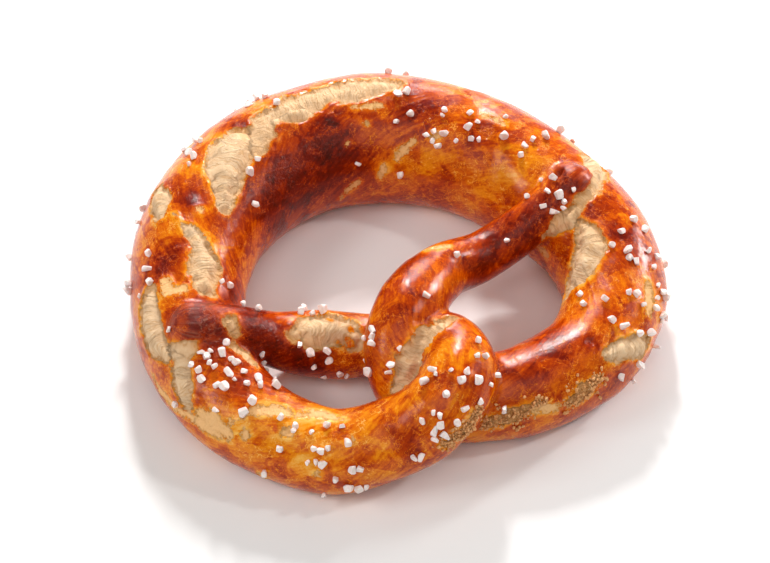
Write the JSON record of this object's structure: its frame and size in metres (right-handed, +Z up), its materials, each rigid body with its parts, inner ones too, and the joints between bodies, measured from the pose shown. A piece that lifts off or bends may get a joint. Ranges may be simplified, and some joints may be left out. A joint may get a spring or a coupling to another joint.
{
  "type": "soft pretzel",
  "caption": "Soft lye-dough pretzel with a thick split belly, a single twist and two thin arms laid back over the ring, sprinkled with coarse salt.",
  "frame": {"origin": "middle of the bounding box, on the surface that the pretzel lies on", "axes": "+Z up, through the holes; +Y from the twist to the thick belly; +X to the side of the arm that lies over the other one"},
  "size_m": [0.1598, 0.1484, 0.0382],
  "materials": {
    "crust": "glossy lye-browned crust, mahogany to golden orange",
    "crumb": "matte, rough, torn pale crumb",
    "salt": "coarse opaque salt grains"
  },
  "bodies": {
    "root": {"pretzel": "crust"}
  },
  "joints": []
}
